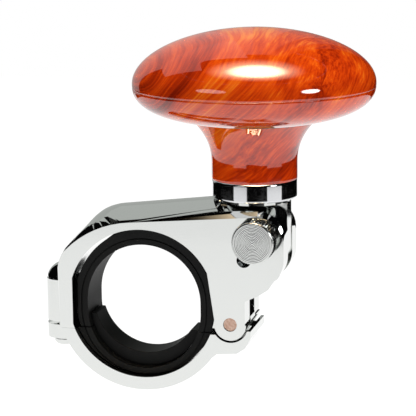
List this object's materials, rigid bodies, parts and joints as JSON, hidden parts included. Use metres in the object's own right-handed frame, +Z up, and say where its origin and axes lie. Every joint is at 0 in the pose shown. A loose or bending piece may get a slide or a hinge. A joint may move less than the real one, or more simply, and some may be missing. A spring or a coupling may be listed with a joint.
{
  "type": "steering wheel spinner knob",
  "caption": "Spinner knob with a turned wood-look grip on a bearing, a fold-down pivot and a hinged chrome clamp with rubber liners for a steering wheel rim.",
  "frame": {"origin": "the axis of the steering wheel's rim at the middle of the clamp's width", "axes": "+X from the rim towards the knob, +Y along the rim, away from the knurled screw's head, +Z up along the knob's axis"},
  "size_m": [0.0982, 0.0698, 0.1054],
  "materials": {
    "wood_look": "red-orange burl grain under a clear gloss coat",
    "collar_chrome": "mirror polished",
    "clamp_chrome": "plated, bright",
    "turned_steel": "turned, fine rings",
    "pin_copper": "copper-washed steel",
    "black_rubber": "moulded, satin",
    "bearing_steel": "ground",
    "spindle_steel": "zinc plated",
    "spring_steel": "oiled",
    "cage_plastic": "moulded nylon",
    "bush_bronze": "sintered bronze"
  },
  "bodies": {
    "upper_half": {"upper_clamp": "clamp_chrome", "hinge_pin": "pin_copper", "upper_liner": "black_rubber", "thumb_washer": "clamp_chrome", "pivot_nut": "turned_steel"},
    "lower_half": {"lower_clamp": "clamp_chrome", "lower_liner": "black_rubber", "rim_pad": "black_rubber", "screw_washer": "clamp_chrome"},
    "clamp_screw": {"clamp_screw": "clamp_chrome"},
    "fold_block": {"pivot_block": "clamp_chrome", "spindle": "spindle_steel", "bearing_inner_race": "bearing_steel", "spindle_washer": "spindle_steel", "spindle_nut": "spindle_steel", "detent_ball": "bearing_steel", "detent_spring": "spring_steel", "detent_plug": "spring_steel"},
    "knob": {"knob_cap": "wood_look", "knob_body": "wood_look", "collar": "collar_chrome", "bearing_outer_race": "bearing_steel", "upper_bush": "bush_bronze"},
    "ball_cage": {"bearing_balls": "bearing_steel", "bearing_cage": "cage_plastic"},
    "thumb_screw": {"thumb_screw": "turned_steel"}
  },
  "joints": [
    {"name": "clamp_open", "type": "hinge", "parent": "upper_half", "child": "lower_half", "pos_m": [0.0263, 0, -0.0051], "axis": [0, -1, 0], "range_deg": [0, 45]},
    {"name": "clamp_screw_turn", "type": "hinge", "parent": "lower_half", "child": "clamp_screw", "pos_m": [-0.0264, 0, -0.009], "axis": [0, 0, 1], "continuous": true},
    {"name": "fold", "type": "hinge", "parent": "upper_half", "child": "fold_block", "pos_m": [0.0346, 0, 0.0207], "axis": [0, 1, 0], "range_deg": [0, 90]},
    {"name": "knob_spin", "type": "hinge", "parent": "fold_block", "child": "knob", "pos_m": [0.0318, 0, 0], "axis": [0, 0, 1], "continuous": true},
    {"name": "cage_spin", "type": "hinge", "parent": "fold_block", "child": "ball_cage", "pos_m": [0.0318, 0, 0], "axis": [0, 0, 1], "continuous": true},
    {"name": "thumb_screw_turn", "type": "hinge", "parent": "upper_half", "child": "thumb_screw", "pos_m": [0.0346, 0, 0.0207], "axis": [0, 1, 0], "continuous": true}
  ],
  "couplings": [
    {"joint": "cage_spin", "follows": "knob_spin", "ratio": 0.6296}
  ]
}
